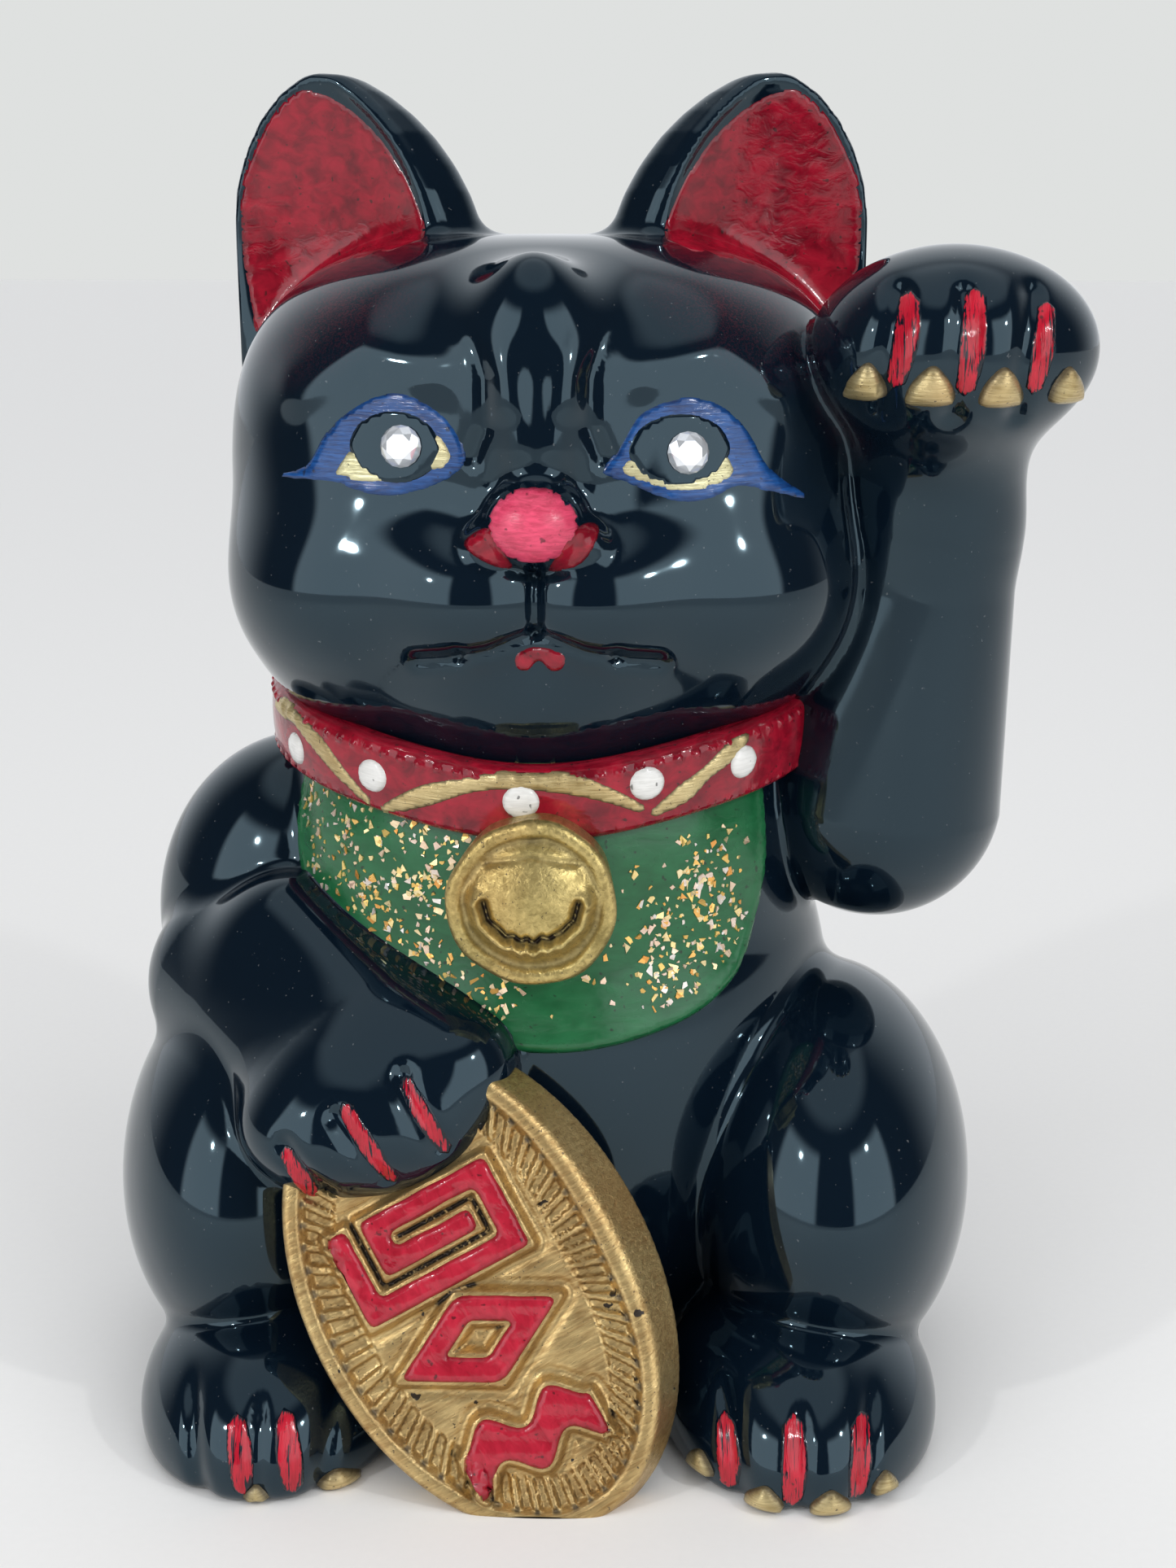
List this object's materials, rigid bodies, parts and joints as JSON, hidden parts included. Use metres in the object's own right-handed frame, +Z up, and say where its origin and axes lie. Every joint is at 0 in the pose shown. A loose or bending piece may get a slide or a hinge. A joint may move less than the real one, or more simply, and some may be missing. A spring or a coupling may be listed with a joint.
{
  "type": "beckoning cat figurine",
  "caption": "Seated ceramic cat bank with one paw raised, a collar with a round bell, a bib, and an oval coin leaning on its belly.",
  "frame": {"origin": "on the floor, at the middle of the whole figure's footprint box", "axes": "+Z up, -Y the way the cat looks, +X the cat's own left, the side of its raised paw"},
  "size_m": [0.1738, 0.1494, 0.2397],
  "materials": {
    "black_glaze": "deep gloss",
    "red_enamel": "brushed gloss paint",
    "green_enamel": "brushed gloss paint",
    "blue_enamel": "brushed gloss paint",
    "pink_enamel": "brushed gloss paint",
    "white_enamel": "gloss paint",
    "aged_gold": "brushed bronze gold paint",
    "gold_foil": "foil flakes",
    "glass_stone": "faceted, foil backed",
    "stopper_rubber": "matte"
  },
  "bodies": {
    "figure": {"torso_shell": "black_glaze", "head_shell": "black_glaze", "ear_left": "black_glaze", "ear_right": "black_glaze", "raised_arm": "black_glaze", "lowered_arm": "black_glaze", "haunch_left": "black_glaze", "haunch_right": "black_glaze", "foot_left": "black_glaze", "foot_right": "black_glaze", "tail": "black_glaze", "collar": "red_enamel", "bib": "green_enamel", "bell": "aged_gold", "koban": "aged_gold", "koban_fret": "red_enamel", "koban_lozenge": "red_enamel", "koban_waves": "red_enamel", "stone_left": "glass_stone", "stone_right": "glass_stone"},
    "stopper": {"base_stopper": "stopper_rubber"}
  },
  "joints": [
    {"name": "stopper_pull", "type": "slide", "parent": "figure", "child": "stopper", "axis": [0, 0, -1], "range_m": [0, 0.03]}
  ]
}
